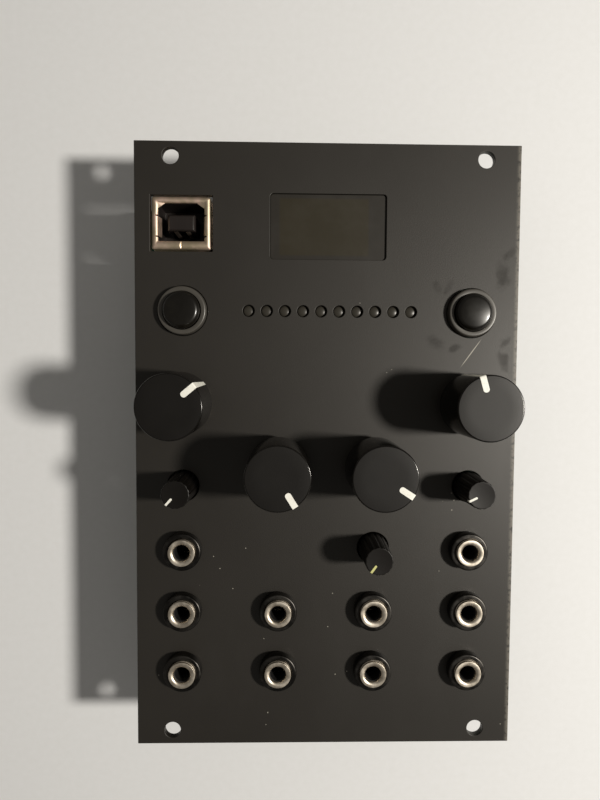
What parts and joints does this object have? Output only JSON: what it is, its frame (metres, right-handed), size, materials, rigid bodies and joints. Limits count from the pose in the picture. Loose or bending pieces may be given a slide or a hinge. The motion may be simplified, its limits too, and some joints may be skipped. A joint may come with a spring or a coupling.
{
  "type": "eurorack module",
  "caption": "Black eurorack synthesiser module with a display window, USB socket, knobs, push buttons, indicator row and patch jacks.",
  "frame": {"origin": "under the centre of the front panel, in the plane that the parts behind the board touch as the module lies on its back", "axes": "+Z out of the front panel, +Y towards the panel's top edge, +X to the right as the panel is read"},
  "size_m": [0.0808, 0.1284, 0.0381],
  "materials": {
    "front_panel": "matt black powder coat, lightly worn at the right edge",
    "circuit_board": "solder mask over glass fibre",
    "display_glass": "dark unlit display glass",
    "black_plastic": "moulded black plastic",
    "knob": "matt black knob with a white pointer line",
    "button_cap": "glossy black dome",
    "button_ring": "satin grey ring",
    "usb_shell": "plated folded steel",
    "jack_socket": "nickel bushing on a black plastic housing",
    "jack_nut": "black nickel round nut",
    "pot_metal": "plated steel",
    "indicator": "clear unlit lens strip",
    "capacitor": "bare aluminium can on a black base"
  },
  "bodies": {
    "chassis": {"audio_chip": "black_plastic", "button_switch_left": "black_plastic", "button_switch_right": "black_plastic", "capacitor_left": "capacitor", "capacitor_right": "capacitor", "control_board": "circuit_board", "crystal": "pot_metal", "display_board": "circuit_board", "display_glass": "display_glass", "display_header": "black_plastic", "front_panel": "front_panel", "indicator_strip": "indicator", "jack_nut_1": "jack_nut", "jack_nut_10": "jack_nut", "jack_nut_2": "jack_nut", "jack_nut_3": "jack_nut", "jack_nut_4": "jack_nut", "jack_nut_5": "jack_nut", "jack_nut_6": "jack_nut", "jack_nut_7": "jack_nut", "jack_nut_8": "jack_nut", "jack_nut_9": "jack_nut", "jack_socket_1": "jack_socket", "jack_socket_10": "jack_socket", "jack_socket_2": "jack_socket", "jack_socket_3": "jack_socket", "jack_socket_4": "jack_socket", "jack_socket_5": "jack_socket", "jack_socket_6": "jack_socket", "jack_socket_7": "jack_socket", "jack_socket_8": "jack_socket", "jack_socket_9": "jack_socket", "pot_body_middle_left": "pot_metal", "pot_body_middle_right": "pot_metal", "pot_body_upper_left": "pot_metal", "pot_body_upper_right": "pot_metal", "power_header": "black_plastic", "processor": "black_plastic", "regulator": "black_plastic", "trimmer_body_centre": "black_plastic", "trimmer_body_left": "black_plastic", "trimmer_body_right": "black_plastic", "usb_insert": "black_plastic", "usb_shell": "usb_shell"},
    "upper_left_knob_body": {"knob_upper_left": "knob", "pot_shaft_upper_left": "pot_metal"},
    "upper_right_knob_body": {"knob_upper_right": "knob", "pot_shaft_upper_right": "pot_metal"},
    "middle_left_knob_body": {"knob_middle_left": "knob", "pot_shaft_middle_left": "pot_metal"},
    "middle_right_knob_body": {"knob_middle_right": "knob", "pot_shaft_middle_right": "pot_metal"},
    "left_trimmer_body": {"trimmer_knob_left": "knob"},
    "right_trimmer_body": {"trimmer_knob_right": "knob"},
    "centre_trimmer_body": {"trimmer_knob_centre": "knob"},
    "left_button": {"button_cap_left": "button_cap", "button_ring_left": "button_ring"},
    "right_button": {"button_cap_right": "button_cap", "button_ring_right": "button_ring"}
  },
  "joints": [
    {"name": "upper_left_knob_turn", "type": "hinge", "parent": "chassis", "child": "upper_left_knob_body", "pos_m": [-0.03048, 0.01002, 0.0221], "axis": [0, 0, 1], "range_deg": [-100, 200]},
    {"name": "upper_right_knob_turn", "type": "hinge", "parent": "chassis", "child": "upper_right_knob_body", "pos_m": [0.02978, 0.01002, 0.0221], "axis": [0, 0, 1], "range_deg": [-166, 134]},
    {"name": "middle_left_knob_turn", "type": "hinge", "parent": "chassis", "child": "middle_left_knob_body", "pos_m": [-0.01016, -0.00334, 0.0221], "axis": [0, 0, 1], "range_deg": [-2, 298]},
    {"name": "middle_right_knob_turn", "type": "hinge", "parent": "chassis", "child": "middle_right_knob_body", "pos_m": [0.01016, -0.00334, 0.0221], "axis": [0, 0, 1], "range_deg": [-27, 273]},
    {"name": "left_trimmer_turn", "type": "hinge", "parent": "chassis", "child": "left_trimmer_body", "pos_m": [-0.03048, -0.00771, 0.0221], "axis": [0, 0, 1], "range_deg": [-283, 7]},
    {"name": "right_trimmer_turn", "type": "hinge", "parent": "chassis", "child": "right_trimmer_body", "pos_m": [0.03048, -0.00771, 0.0221], "axis": [0, 0, 1], "range_deg": [-261, 29]},
    {"name": "centre_trimmer_turn", "type": "hinge", "parent": "chassis", "child": "centre_trimmer_body", "pos_m": [0.01016, -0.02107, 0.0221], "axis": [0, 0, 1], "range_deg": [-289, 1]},
    {"name": "left_button_press", "type": "slide", "parent": "chassis", "child": "left_button", "axis": [0, 0, -1], "range_m": [0, 0.0004], "stiffness_N_per_m": 2000, "springref_m": -0.0002},
    {"name": "right_button_press", "type": "slide", "parent": "chassis", "child": "right_button", "axis": [0, 0, -1], "range_m": [0, 0.0004], "stiffness_N_per_m": 2000, "springref_m": -0.0002}
  ]
}
